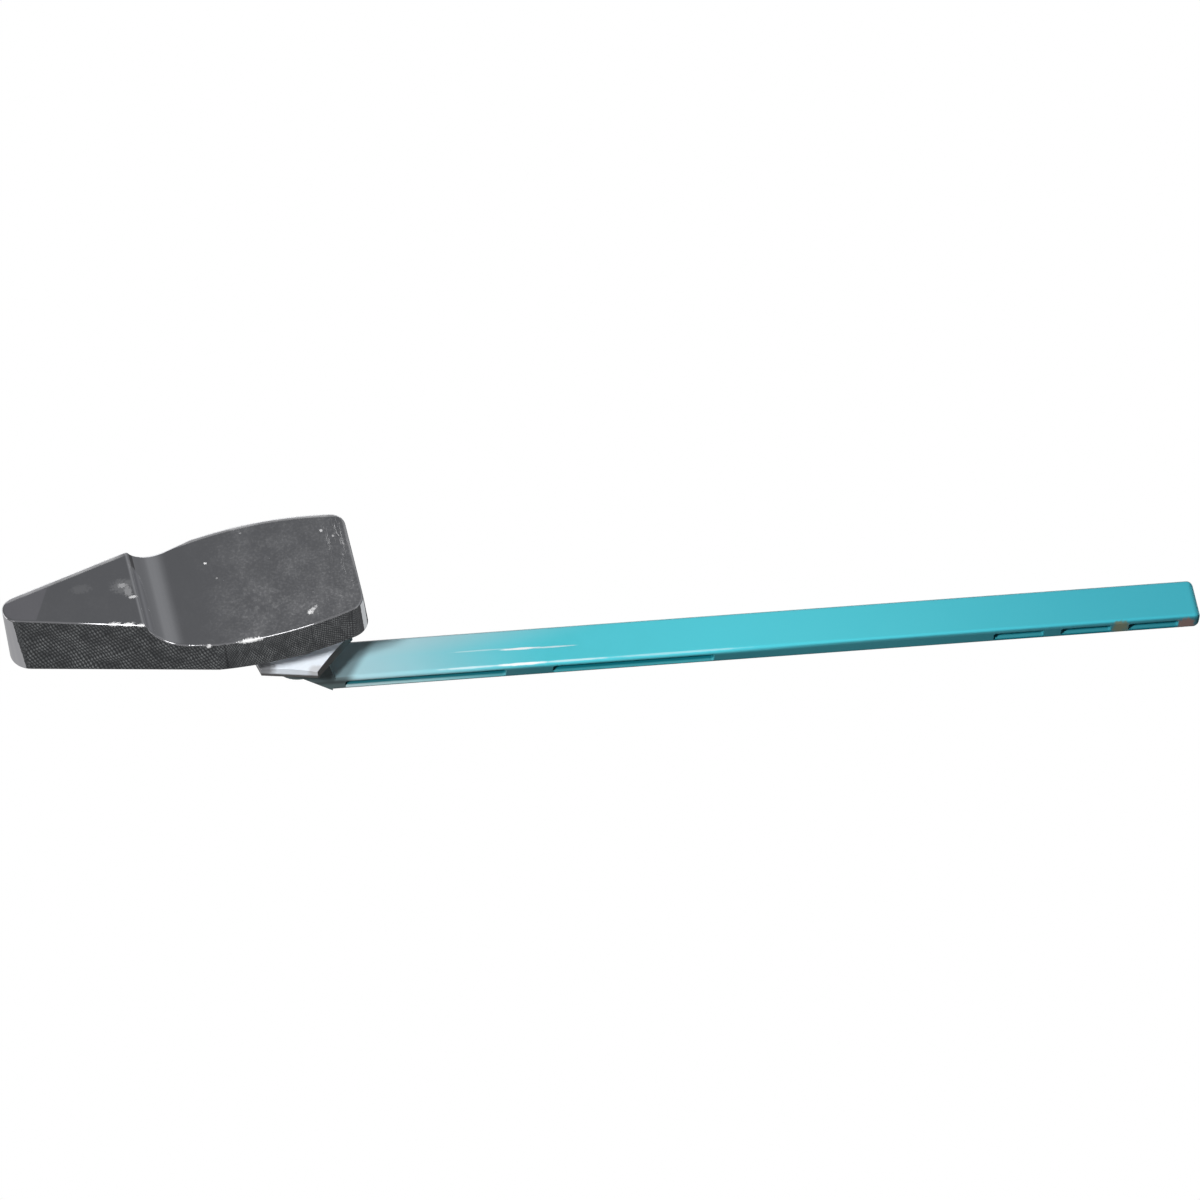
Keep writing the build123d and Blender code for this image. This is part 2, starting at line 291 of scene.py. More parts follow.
# Marks on the plated faces, the last five of them painted highlights on the lower rims: centre and reach in
# millimetres, and strength
CHROME_MARKS_AND_HIGHLIGHTS = [
    ((-35.4, -18.0, -0.4), (1.2, 3.0, 2.4), 0.2),
    ((-36.4, -18.0, 1.5), (1.4, 3.0, 0.9), 0.3),
    ((-34.6, -18.0, -2.2), (1.2, 3.0, 0.55), 0.6),
    ((-33.0, -17.6, 6.5), (0.9, 1.5, 3.0), 0.12),
    ((-36.4, -18.0, 1.2), (3.2, 3.0, 2.6), 0.07),
    ((-45.5, -18.5, 2.4), (3.0, 3.0, 1.6), 0.035),
    ((3.1, -12.0, -12.0), (0.9, 3.0, 0.75), 0.8),
    ((3.9, -12.0, -11.4), (0.8, 3.0, 0.65), 0.6),
    ((4.6, -12.0, -10.8), (0.6, 3.0, 0.5), 0.4),
    ((12.0, -12.0, 7.5), (0.38, 3.0, 0.38), 0.45),
    ((-16.9, -11.5, 7.8), (0.42, 3.0, 0.42), 0.9),
    ((9.7, -12.0, 9.7), (0.45, 3.0, 0.5), 0.6),
    ((-7.8, -11.7, 13.9), (0.35, 3.0, 0.3), 0.3),
    ((-15.2, -11.5, 3.0), (0.35, 3.0, 0.3), 0.25),
    # Painted highlights along the hub's and the paddle's lower rims
    ((-11.2, -11.3, -16.0), (3.3, 0.7, 0.9), 0.9),
    ((-20.6, -11.0, -15.0), (0.8, 0.7, 0.6), 0.8),
    ((-40.2, -18.3, -9.0), (1.8, 0.8, 0.75), 0.8),
    ((-37.2, -18.1, -9.8), (1.8, 0.8, 0.75), 0.9),
    ((-34.2, -18.0, -10.6), (1.8, 0.8, 0.75), 0.9),
]

# Where the hub's right end is scratched
SCRATCHED_END = {"Centre": (12.5, -12.2, 5.0), "Reach": (3.0, 2.0, 11.0), "Grain": 2.0, "Breakup": 0.5}


def make_chrome_plating():
    material, tree, shader = start_material("chrome_plating")
    place, facing = axes(tree, millimetres(tree)), facing_way(tree)
    film = use(tree, smudges, {"Size": 6.0, "Low": 0.34, "High": 0.7, "Warp": 0.2})

    # Dust settled on the front faces, most of it towards the hub's right end and lower edge
    on_face = fade(tree, facing["Y"], -0.75, -0.93)
    towards_hub_end = fade(tree, place["X"], -24, -6, 0.1, 1.0)
    towards_lower_edge = fade(tree, place["Z"], 14, -10, 0.6, 1.0)
    settled = product(tree, towards_hub_end, towards_lower_edge, on_face)
    haze = use(tree, smudges, {"Size": 0.6, "Low": 0.42, "High": 0.78, "Warp": 0.0})
    haze = product(tree, spread(tree, film, 0.5, 1.0), haze, HAZE_STRENGTH)
    dusty = product(tree, reckon(tree, "ADD", spread(tree, film, *VEIL_STRENGTH), haze), settled)
    specks = use(tree, dust_specks, {"Spacing": 5.0, "Size": 0.06, "Share": 0.3})
    specks = product(tree, specks, on_face, SPECK_STRENGTH)
    grit = use(tree, dust_specks, {"Spacing": 1.5, "Size": 0.13, "Share": 0.25})
    grit = product(tree, grit, settled, GRIT_STRENGTH)
    dust_and_painted_light = most(tree, specks, grit, dusty)

    # Marks, painted rim highlights among them, and scratches in their own places
    for centre, reach, strength in CHROME_MARKS_AND_HIGHLIGHTS:
        mark = use(tree, local_patch, {"Centre": centre, "Reach": reach, "Grain": 0.5, "Breakup": 0.45})
        dust_and_painted_light = most(tree, dust_and_painted_light, product(tree, mark, strength))
    lines = use(tree, fine_scratches, {"Across": (0.5, 4.0, 9.0), "Width": 0.012, "Share": 0.5})
    scratched = use(tree, local_patch, SCRATCHED_END)
    dust_and_painted_light = most(tree, dust_and_painted_light, product(tree, lines, scratched, SCRATCH_STRENGTH))

    # Painted highlight along the upper edges and the right end, by how far inside them, in millimetres
    flat = reckon_vector(tree, "MULTIPLY", millimetres(tree), (1, 0, 1))["Vector"]
    leaning = reckon_vector(tree, "DOT_PRODUCT", flat, PADDLE_EDGE_INWARD)["Value"]
    in_paddle = reckon(tree, "ADD", leaning, PADDLE_EDGE_DISTANCE)
    from_centre = reckon_vector(tree, "DISTANCE", flat, HUB_ARC_CENTRE)["Value"]
    in_hub = reckon(tree, "SUBTRACT", HUB_ARC_RADIUS, from_centre)
    paddle_edge = product(tree, fade(tree, in_paddle, 1.2, 0.75), fade(tree, place["X"], -33, -36))
    hub_edge = product(tree, fade(tree, in_hub, 1.1, 0.7), fade(tree, place["X"], -24, -20))
    end_edge = product(tree, fade(tree, place["X"], 14.5, 14.9), END_HIGHLIGHT_SHARE)
    edge = most(tree, paddle_edge, hub_edge, end_edge)
    edge = product(tree, edge, fade(tree, facing["Y"], -0.3, -0.6), fade(tree, place["Z"], -9, 3))
    dust_and_painted_light = most(tree, dust_and_painted_light, product(tree, edge, spread(tree, film, *EDGE_HIGHLIGHT_STRENGTH)))

    # Painted light on the faces turned back, which lifts the hollow back's black pockets; less metallic
    # there too
    dust_and_painted_light = most(tree, dust_and_painted_light, fade(tree, facing["Y"], 0.5, 0.8, 0.0, HOLLOW_BACK_LIGHT_STRENGTH))

    # Painted shade line across the lower wall
    off_shade_line = reckon(tree, "ABSOLUTE", reckon(tree, "SUBTRACT", place["X"], SHADE_LINE_X))
    shade_line = product(tree, fade(tree, off_shade_line, 0.36, 0.12), fade(tree, facing["Z"], -0.6, -0.85))
    plated = tint(tree, shade_line, PLATE, PLATE_SHADE_LINE)
    tree.links.new(tint(tree, dust_and_painted_light, plated, DUST_AND_HIGHLIGHT), shader.inputs["Base Color"])
    tree.links.new(reckon(tree, "SUBTRACT", 1.0, dust_and_painted_light), shader.inputs["Metallic"])
    dulled = product(tree, film, settled)
    tree.links.new(spread(tree, dulled, *PLATE_ROUGHNESS), shader.inputs["Roughness"])
    return material


# White moulding on the bushing and the lock nut

WHITE, WHITE_CLOUD = colour(238, 240, 244), colour(228, 229, 231)
WHITE_CLOUDS = {"Size": 9.0, "Low": 0.35, "High": 0.75, "Warp": 0.4}
WHITE_ROUGHNESS = (0.32, 0.45)
WHITE_GRAIN = {"Size": 0.5, "Ripple": 5.0}
NUT_WHITE, NUT_WHITE_CLOUD = colour(222, 229, 237), colour(214, 220, 227)
NUT_SIDE_SHADE = colour(78, 77, 76)

GRAIN_STRENGTH = 0.05
GRAIN_DEPTH = 0.1 * MM

# Painted shade on the lock nut, its left end in the hub's shadow and its lower right corner turned from the
# light: centre and reach in millimetres, grey and strength
NUT_SHADES = [
    ((-9.5, 9.0, -8.8), (4.2, 3.0, 3.2), 118, 0.9),
    ((2.6, 9.0, -12.0), (2.6, 3.0, 1.5), 180, 0.8),
]


def finish_moulding(tree, shader, shade, cloud, roughness, grain):
    """Gives a moulding its colour, a roughness that follows its clouds, and its grain."""
    tree.links.new(shade, shader.inputs["Base Color"])
    tree.links.new(spread(tree, cloud, *roughness), shader.inputs["Roughness"])
    height = use(tree, moulded_grain, grain)
    bump = put(
        tree, "ShaderNodeBump", {"Height": height, "Strength": GRAIN_STRENGTH, "Distance": GRAIN_DEPTH}
    )
    tree.links.new(bump.outputs[0], shader.inputs["Normal"])


def make_white_moulding():
    material, tree, shader = start_material("white_moulding")
    cloud = use(tree, smudges, WHITE_CLOUDS)
    finish_moulding(tree, shader, tint(tree, cloud, WHITE, WHITE_CLOUD), cloud, WHITE_ROUGHNESS, WHITE_GRAIN)
    return material


def make_lock_nut_moulding():
    """A greyer white moulding, with painted shade in two places and on its lower sides."""
    material, tree, shader = start_material("lock_nut_moulding")
    place, facing = axes(tree, millimetres(tree)), facing_way(tree)
    cloud = use(tree, smudges, WHITE_CLOUDS)
    shade = tint(tree, cloud, NUT_WHITE, NUT_WHITE_CLOUD)
    for centre, reach, grey, strength in NUT_SHADES:
        mark = use(tree, local_patch, {"Centre": centre, "Reach": reach, "Grain": 1.5, "Breakup": 0.2})
        shade = tint(tree, product(tree, mark, strength), shade, colour(grey, grey, grey + 2))
    # Painted shade on the lower sides: along their back edge, and on those that face right
    edge_on = fade(tree, reckon(tree, "ABSOLUTE", facing["Y"]), 0.75, 0.5)
    side_shade = most(tree, fade(tree, place["Y"], 10.1, 10.7), fade(tree, facing["X"], 0.2, 0.5))
    side_shade = product(tree, side_shade, fade(tree, place["Z"], 1.0, -3.0))
    shade = tint(tree, product(tree, edge_on, side_shade), shade, NUT_SIDE_SHADE)
    finish_moulding(tree, shader, shade, cloud, WHITE_ROUGHNESS, WHITE_GRAIN)
    return material


# Teal moulding on the arm

ROOT_TEAL, ROOT_TEAL_CLOUD = colour(85, 208, 222), colour(79, 202, 215)
MIDDLE_TEAL = colour(85, 216, 231)
END_TEAL = colour(73, 203, 222)
PALE_SHEEN_TEAL = colour(167, 203, 211)
RUB_AND_GLINT_TEAL = colour(248, 252, 253)
TEAL_ROUGHNESS = (0.3, 0.4)
TEAL_GRAIN = {"Size": 0.6, "Ripple": 8.0}

# Factors for painted shade and light on the teal, and for darker upper edges; near and far are towards the
# root and towards the end
UNDERSIDE_SHADE_ROOT = (0.45, 0.43, 0.42, 1.0)
UNDERSIDE_SHADE_NEAR = (0.3, 0.27, 0.28, 1.0)
UNDERSIDE_SHADE_FAR = (0.4, 0.335, 0.34, 1.0)
SLOT_SHADOW = (0.05, 0.24, 0.26, 1.0)
SLOT_LIT_BAND_NEAR = (1.15, 0.95, 0.9, 1.0)
SLOT_LIT_BAND_FAR = (0.71, 0.58, 0.57, 1.0)
UPPER_EDGE_DARKENING = (0.7, 0.58, 0.55, 1.0)
ROOT_SHADOW = (0.42, 0.4, 0.4, 1.0)
ROOT_FOOT_SHADE = (0.56, 0.52, 0.5, 1.0)

# Where the arm's front face crosses the pivot axis, in millimetres, and how far it runs back for each
# millimetre along
ARM_FRONT, ARM_RUN = 20.4, 0.2171

# How far along the pale part, partly a painted sheen, and the root's painted shadow lean for each millimetre
# up
PALE_SHEEN_LEAN = 3.0
ROOT_SHADOW_LEAN = 0.7

# How far the slots' painted lit band is raised towards the arm's end, in millimetres
SLOT_LIT_BAND_RISE = 0.5

# Stains on the arm: centre and reach in millimetres, colour and strength
ARM_STAINS = [
    ((181.0, 61.3, -5.3), (2.6, 2.8, 0.8), (117, 119, 93), 0.85),
    ((195.6, 65.2, -5.4), (2.6, 2.8, 0.8), (150, 108, 94), 0.75),
]

# Rubbed lines along the arm's front, and a painted highlight along its lower front edge: distance along and
# height of the middle, reach along and up in millimetres, and strength
ARM_RUBS_AND_GLINTS = [
    (40.0, -0.25, 8.0, 0.26, 0.3),
    (49.0, -0.55, 6.0, 0.38, 1.0),
    (56.0, -0.7, 6.0, 0.28, 0.6),
    # Painted highlight along the lower front edge
    (37.0, -4.8, 9.0, 0.28, 0.5),
    (48.5, -4.8, 8.0, 0.36, 1.0),
    (60.0, -4.8, 11.0, 0.28, 0.5),
    (82.0, -4.8, 24.0, 0.3, 0.3),
]
ARM_RUB_AND_GLINT_DEPTH = 9.0


def make_teal_moulding():
    material, tree, shader = start_material("teal_moulding")
    cloud = use(tree, smudges, {"Size": 16.0, "Low": 0.3, "High": 0.75, "Warp": 0.4})
    place, facing = axes(tree, millimetres(tree)), facing_way(tree)
    along = place["X"]
    front = reckon(tree, "ADD", product(tree, along, ARM_RUN), ARM_FRONT)
    depth = reckon(tree, "SUBTRACT", place["Y"], front)

    # Paler towards the root and more so higher up: partly the plastic's own paler tone, partly a painted
    # sheen
    teal = tint(tree, cloud, ROOT_TEAL, ROOT_TEAL_CLOUD)
    teal = tint(tree, fade(tree, along, 55, 100), teal, MIDDLE_TEAL)
    teal = tint(tree, fade(tree, along, 110, 195), teal, END_TEAL)
    lifted = product(tree, most(tree, place["Z"], 0.0), PALE_SHEEN_LEAN)
    pale_sheen = fade(tree, reckon(tree, "SUBTRACT", along, lifted), 58, 4)
    shade = tint(tree, pale_sheen, teal, PALE_SHEEN_TEAL)

    # Painted shade on the underside, past a rounder front edge near the root and a sharper one far out
    downward = fade(tree, facing["Z"], -0.2, -0.6)
    near_turn = fade(tree, depth, 0.25, 1.5)
    far_turn = fade(tree, depth, 0.05, 0.6)
    far_out = fade(tree, along, 80, 130)
    sharper = product(tree, far_out, reckon(tree, "SUBTRACT", far_turn, near_turn))
    turn = reckon(tree, "ADD", near_turn, sharper)
    dulled = tint(tree, far_out, UNDERSIDE_SHADE_NEAR, UNDERSIDE_SHADE_FAR)
    dulled = tint(tree, fade(tree, along, 45, 20), dulled, UNDERSIDE_SHADE_ROOT)
    shade = darken(tree, product(tree, downward, turn), shade, dulled)

    # Painted shadow on the slots' walls, above a painted lit lower band
    sideways = fade(tree, reckon(tree, "ABSOLUTE", facing["Z"]), 0.7, 0.4)
    between_faces = product(tree, fade(tree, depth, 1.0, 1.12), fade(tree, depth, 3.6, 3.4))
    between_ends = product(tree, fade(tree, along, 8.0, 9.0), fade(tree, along, 196.5, 195.5))
    inside = product(tree, between_faces, sideways, fade(tree, place["Z"], -1.0, -3.0), between_ends)
    level = reckon(tree, "SUBTRACT", place["Z"], fade(tree, along, 120, 150, 0.0, SLOT_LIT_BAND_RISE))
    band = product(tree, fade(tree, level, -4.3, -4.9), fade(tree, level, -5.7, -5.3))
    lit_band = tint(tree, fade(tree, along, 48, 24), SLOT_LIT_BAND_FAR, SLOT_LIT_BAND_NEAR)
    shade = darken(tree, inside, shade, tint(tree, band, SLOT_SHADOW, lit_band))

    # Darker along the upper front edge; painted shadow round the root and painted shade under it
    upper_edge = product(tree, fade(tree, facing["Z"], 0.2, 0.65), fade(tree, depth, 0.6, 0.35))
    shade = darken(tree, upper_edge, shade, UPPER_EDGE_DARKENING)
    # Painted shadow of the hub and the nut across the root's front
    leaning = reckon(tree, "SUBTRACT", along, product(tree, place["Z"], ROOT_SHADOW_LEAN))
    root = product(tree, fade(tree, leaning, 15.2, 12.6), fade(tree, depth, 2.5, 1.0))
    shade = darken(tree, root, shade, ROOT_SHADOW)
    root_foot_shade = product(tree, fade(tree, along, 13, 8), fade(tree, facing["Z"], -0.3, -0.7))
    shade = darken(tree, root_foot_shade, shade, ROOT_FOOT_SHADE)

    # Stains, lines rubbed pale along the front, and a painted highlight along the lower front edge
    for centre, reach, tone, strength in ARM_STAINS:
        mark = use(tree, local_patch, {"Centre": centre, "Reach": reach, "Grain": 0.8, "Breakup": 0.4})
        shade = tint(tree, product(tree, mark, strength), shade, colour(*tone))
    rubbed_and_glint = 0.0
    for middle, height, run, rise, strength in ARM_RUBS_AND_GLINTS:
        centre, reach = (middle, ARM_FRONT + ARM_RUN * middle, height), (run, ARM_RUB_AND_GLINT_DEPTH, rise)
        line = use(tree, local_patch, {"Centre": centre, "Reach": reach, "Grain": 2.5, "Breakup": 0.2})
        rubbed_and_glint = most(tree, rubbed_and_glint, product(tree, line, strength))
    rubbed_and_glint = product(tree, rubbed_and_glint, fade(tree, depth, 0.9, 0.5))
    shade = tint(tree, rubbed_and_glint, shade, RUB_AND_GLINT_TEAL)
    finish_moulding(tree, shader, shade, cloud, TEAL_ROUGHNESS, TEAL_GRAIN)
    return material


# Steel of the screw

STEEL, STEEL_FILM = colour(190, 188, 184), colour(160, 156, 150)
STEEL_ROUGHNESS = (0.25, 0.42)


def make_screw_steel():
    material, tree, shader = start_material("screw_steel")
    film = use(tree, smudges, {"Size": 1.5, "Low": 0.4, "High": 0.7, "Warp": 0.5})
    tree.links.new(tint(tree, film, STEEL, STEEL_FILM), shader.inputs["Base Color"])
    shader.inputs["Metallic"].default_value = 1.0
    tree.links.new(spread(tree, film, *STEEL_ROUGHNESS), shader.inputs["Roughness"])
    return material


def dress(node, material):
    for slot in nodes[node].material_slots:
        slot.material = material


white_moulding = make_white_moulding()
lock_nut_moulding = make_lock_nut_moulding()
dress("handle", make_chrome_plating())
dress("bushing", white_moulding)
dress("lock_nut", lock_nut_moulding)
dress("arm", make_teal_moulding())
dress("screw", make_screw_steel())


# Screw threads, which the solids leave plain

# Pitch and half the width of the groove in millimetres, and steps in one turn
THREAD_PITCH = 1.6
THREAD_HALF_WIDTH = 0.7
THREAD_STEPS = 40

# The groove starts at a share of its depth and deepens over the first steps
LEAD_IN_SHARE = 0.05
LEAD_IN_STEPS = 16

# Start and end of each thread along the pivot axis, its mouth's radius and its root's, in millimetres
BARREL_THREAD = (4.2, 17.4, 7.9, 6.95)
BORE_THREAD = (6.6, 13.0, 7.2, 8.2)

WELD_DISTANCE = 0.002 * MM
SHARP_ANGLE = math.radians(32)


def make_thread_cutter(start, end, mouth_radius, root_radius):
    """A helical wedge round the pivot axis, open at the mouth's radius and sharp at the root's."""
    shape = bmesh.new()
    count = round((end - start) / THREAD_PITCH * THREAD_STEPS)
    rings = []
    for i in range(count + 1):
        angle = math.tau * i / THREAD_STEPS
        y = start + THREAD_PITCH * i / THREAD_STEPS
        sunk = min(1.0, LEAD_IN_SHARE + i / LEAD_IN_STEPS)
        root = mouth_radius + (root_radius - mouth_radius) * sunk
        corners = (
            (mouth_radius, y - THREAD_HALF_WIDTH),
            (root, y),
            (mouth_radius, y + THREAD_HALF_WIDTH),
        )
        rings.append([
            shape.verts.new(Vector((radius * math.cos(angle), height, radius * math.sin(angle))) * MM)
            for radius, height in corners
        ])
    for one, two in zip(rings, rings[1:]):
        for a, b in ((0, 1), (1, 2), (2, 0)):
            shape.faces.new((one[a], one[b], two[b], two[a]))
    shape.faces.new(rings[0])
    shape.faces.new(rings[-1])
    bmesh.ops.triangulate(shape, faces=shape.faces)
    bmesh.ops.recalc_face_normals(shape, faces=shape.faces)
    mesh = bpy.data.meshes.new("thread_cutter")
    shape.to_mesh(mesh)
    shape.free()
    return mesh


def make_threaded(node, name, body, material, cutter_mesh):
    """A copy of a plain solid with the thread cut into it."""
    shape = bmesh.new()
    shape.from_mesh(nodes[node].data)
    bmesh.ops.remove_doubles(shape, verts=shape.verts, dist=WELD_DISTANCE)
    plain = bpy.data.meshes.new(name)
    shape.to_mesh(plain)
    shape.free()
    piece = bpy.data.objects.new(name, plain)
    cutter = bpy.data.objects.new("thread_cutter", cutter_mesh)
    bpy.context.scene.collection.objects.link(piece)
    bpy.context.scene.collection.objects.link(cutter)
    cut = piece.modifiers.new("thread", "BOOLEAN")
    cut.operation = "DIFFERENCE"
    cut.solver = "EXACT"
    cut.object = cutter
    settled = piece.evaluated_get(bpy.context.evaluated_depsgraph_get())
    threaded = bpy.data.meshes.new_from_object(settled)
    piece.modifiers.clear()
    piece.data = threaded
    bpy.data.objects.remove(cutter)
    if "custom_normal" in threaded.attributes:
        threaded.attributes.remove(threaded.attributes["custom_normal"])
    threaded.shade_smooth()
    threaded.set_sharp_from_angle(angle=SHARP_ANGLE)
    threaded.materials.clear()
    threaded.materials.append(material)
    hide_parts(node)
    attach(piece, body)


barrel_cutter = make_thread_cutter(*BARREL_THREAD)
bore_cutter = make_thread_cutter(*BORE_THREAD)
make_threaded("bushing", "threaded_bushing", "mount", white_moulding, barrel_cutter)
make_threaded("lock_nut", "threaded_lock_nut", "nut", lock_nut_moulding, bore_cutter)


# Camera and light

# The photograph's view, read as parallel: from in front of the tank and below the lever
VIEW_RIGHT = Vector((0.977, 0.0897, -0.191))
VIEW_UP = Vector((0.205, -0.612, 0.763))
PIXELS_PER_MM = 4.52
FRAME_PIXELS = 1200
HUB_CENTRE = Vector((0, -11.5, 0)) * MM
HUB_CENTRE_PIXEL = (286.6, 574.45)
CAMERA_DISTANCE = 0.4
CAMERA_NEAREST = 0.01

# Lamps: place and aim in metres, side in metres and power in watts
LAMPS = [
    ("key", (-0.179, -0.549, -0.374), (0.005, 0.008, -0.012), 0.06, 5.9),
    ("right_back_light", (0.75, 0.6, 0.5), (0.06, 0.03, 0), 0.8, 6.0),
    ("left_back_light", (-0.6, 0.6, 0.5), (0.0, 0.03, 0), 0.8, 5.0),
]

# Strength of the world: as a light, and as the white that is seen and mirrored
WORLD_LIGHT, WORLD_SEEN = 0.12, 1.0


def make_camera():
    right = VIEW_RIGHT.normalized()
    back = right.cross(VIEW_UP).normalized()
    up = back.cross(right)
    metres_per_pixel = MM / PIXELS_PER_MM
    across = (FRAME_PIXELS / 2 - HUB_CENTRE_PIXEL[0]) * metres_per_pixel
    down = (FRAME_PIXELS / 2 - HUB_CENTRE_PIXEL[1]) * metres_per_pixel
    target = HUB_CENTRE + right * across - up * down
    camera = bpy.data.objects.new("camera", bpy.data.cameras.new("camera"))
    camera.data.type = "ORTHO"
    camera.data.ortho_scale = FRAME_PIXELS * metres_per_pixel
    camera.data.clip_start = CAMERA_NEAREST
    turn = Matrix((right, up, back)).transposed().to_4x4()
    camera.matrix_world = Matrix.Translation(target + back * CAMERA_DISTANCE) @ turn
    bpy.context.scene.collection.objects.link(camera)
    bpy.context.scene.camera = camera


def make_soft_light(name, place, aim, side, power):
    light = bpy.data.lights.new(name, "AREA")
    light.size = side
    light.energy = power
    lamp = bpy.data.objects.new(name, light)
    lamp.location = place
    lamp.rotation_mode = "QUATERNION"
    lamp.rotation_quaternion = (Vector(aim) - Vector(place)).to_track_quat("-Z", "Y")
    lamp.visible_camera = False
    lamp.visible_glossy = False
    bpy.context.scene.collection.objects.link(lamp)


def make_world():
    world = bpy.data.worlds.new("studio")
    tree = empty_tree(world)
    rays = put(tree, "ShaderNodeLightPath").outputs
    seen = most(tree, rays["Is Camera Ray"], rays["Is Glossy Ray"], rays["Is Transmission Ray"])
    strength = spread(tree, seen, WORLD_LIGHT, WORLD_SEEN)
    background = put(tree, "ShaderNodeBackground", {"Color": (1, 1, 1, 1), "Strength": strength})
    show(tree, background, "ShaderNodeOutputWorld")
    bpy.context.scene.world = world


# Floor, and the sheets round the lever that only its reflections show; places and sizes in metres

FLOOR_DROP = 0.45
FLOOR_SIDE = 6.0
FLOOR_PALE, FLOOR_CLOUD = colour(242, 242, 242), colour(238, 238, 238)
FLOOR_ROUGHNESS = 0.9
FLOOR_LIFT = (0.5, 0.5, 0.5, 1.0)
NO_LIFT = (0.0, 0.0, 0.0, 1.0)

# Share of the light that the plating mirrors; the sheets glow brighter by as much
PLATE_REFLECTANCE = 0.73

ROOF_SIDE = 1.4
ROOF_HEIGHT = 1.1

# The tent's radius, foot, first bearing and sweep in degrees, number of panels, and greys by bearing, as the
# plated cove and faces show them
TENT_RADIUS = 0.6
TENT_FOOT = -0.42
TENT_START, TENT_SWEEP = -165, 260
TENT_PANELS = 52
TENT_SHADES = [
    (-165, 92), (-120, 88), (-93, 88), (-88, 86), (-80, 89), (-70, 100), (-58, 116),
    (-45, 122), (-30, 122), (-18, 107), (0, 101), (20, 101), (45, 106), (92, 100),
]

# The woven card: spacing of its threads across and up and how far they drift, in millimetres, their slant,
# the shares of warp and weft in the pattern, and its colours
WEAVE_ACROSS, WEAVE_RISE, WEAVE_DRIFT = 0.74, 0.95, 0.8
WEAVE_SLANT = math.radians(-50)
WARP_SHARE, WEFT_SHARE = 0.6, 0.4
WEAVE_GAP, WEAVE_THREAD = colour(48, 49, 50), colour(121, 123, 123)

# The window card: its direction from the origin and its own upward one, distance, half height, ends and grey
CARD_AWAY, CARD_UPWARD = Vector((0, -0.63, -0.777)), Vector((0, -0.777, 0.63))
CARD_DISTANCE, CARD_HALF_HEIGHT = 0.12, 0.09
CARD_LEFT, CARD_RIGHT = Vector((-0.14, 0, 0)), Vector((0.1, 0, 0))
CARD_GREY = colour(112, 112, 114)

# Its windows: left, right, lower and upper edge in millimetres, and brightness; and half their edges' blur
RIM_WINDOWS = [(-71, -61, -10, 18, 8.0), (-18, -13, -20, 5, 4.0), (-13, 22, -10, 8, 4.0)]
WINDOW_BLUR = 2

# The tip card: its offset from the paddle's face, the two ends of the line it shows there, and its width
TIP_CARD_AHEAD = Vector((0.137, -0.776, 0.616)) * 0.08
TIP_LINE_TOP, TIP_LINE_FOOT = Vector((-52.8, -18.9, 4.0)) * MM, Vector((-57.0, -19.1, -4.6)) * MM
TIP_CARD_REACH = Vector((-0.03, 0, 0))

# The side card: its place to the right of the pivot axis, and its reach back and up
SIDE_CARD_X = 30 * MM
SIDE_CARD_Y = (-2 * MM, 19 * MM)
SIDE_CARD_Z = (-14 * MM, 10 * MM)


def make_sheet(name, points, material, faces=((0, 1, 2, 3),)):
    """A sheet of the stage, flat and with four corners unless faces are given."""
    mesh = bpy.data.meshes.new(name)
    mesh.from_pydata([tuple(point) for point in points], [], faces)
    mesh.materials.append(material)
    sheet = bpy.data.objects.new(name, mesh)
    bpy.context.scene.collection.objects.link(sheet)
    return sheet


def level_corners(side, height):
    half = side / 2
    return [(-half, -half, height), (half, -half, height), (half, half, height), (-half, half, height)]


def upright_corners(x_range, z_range, y):
    (x0, x1), (z0, z1) = x_range, z_range
    return [(x0, y, z0), (x1, y, z0), (x1, y, z1), (x0, y, z1)]


def make_floor():
    material, tree, shader = start_material("pale_floor")
    cloud = use(tree, smudges, {"Size": 400.0, "Low": 0.3, "High": 0.7, "Warp": 0.2})
    tree.links.new(tint(tree, cloud, FLOOR_PALE, FLOOR_CLOUD), shader.inputs["Base Color"])
    shader.inputs["Roughness"].default_value = FLOOR_ROUGHNESS
    rays = put(tree, "ShaderNodeLightPath").outputs
    seen = most(tree, rays["Is Camera Ray"], rays["Is Transmission Ray"])
    tree.links.new(tint(tree, seen, NO_LIFT, FLOOR_LIFT), shader.inputs["Emission Color"])
    shader.inputs["Emission Strength"].default_value = 1.0
    make_sheet("floor", level_corners(FLOOR_SIDE, -FLOOR_DROP), material).visible_diffuse = False


def only_in_reflections(sheet):
    sheet.visible_camera = False
    sheet.visible_diffuse = False
    sheet.visible_transmission = False
    sheet.visible_volume_scatter = False
    sheet.visible_shadow = False


def start_glow(name):
    material = bpy.data.materials.new(name)
    tree = empty_tree(material)
    glow = put(tree, "ShaderNodeEmission", {"Strength": 1 / PLATE_REFLECTANCE})
    show(tree, glow)
    return material, tree, glow


def make_clouded_glow(name, size, shade, cloud_shade):
    """A glow with soft clouds of a given size in millimetres."""
    material, tree, glow = start_glow(name)
    cloud = use(tree, smudges, {"Size": size, "Low": 0.3, "High": 0.7, "Warp": 0.2})
    tree.links.new(tint(tree, cloud, shade, cloud_shade), glow.inputs["Color"])
    return material


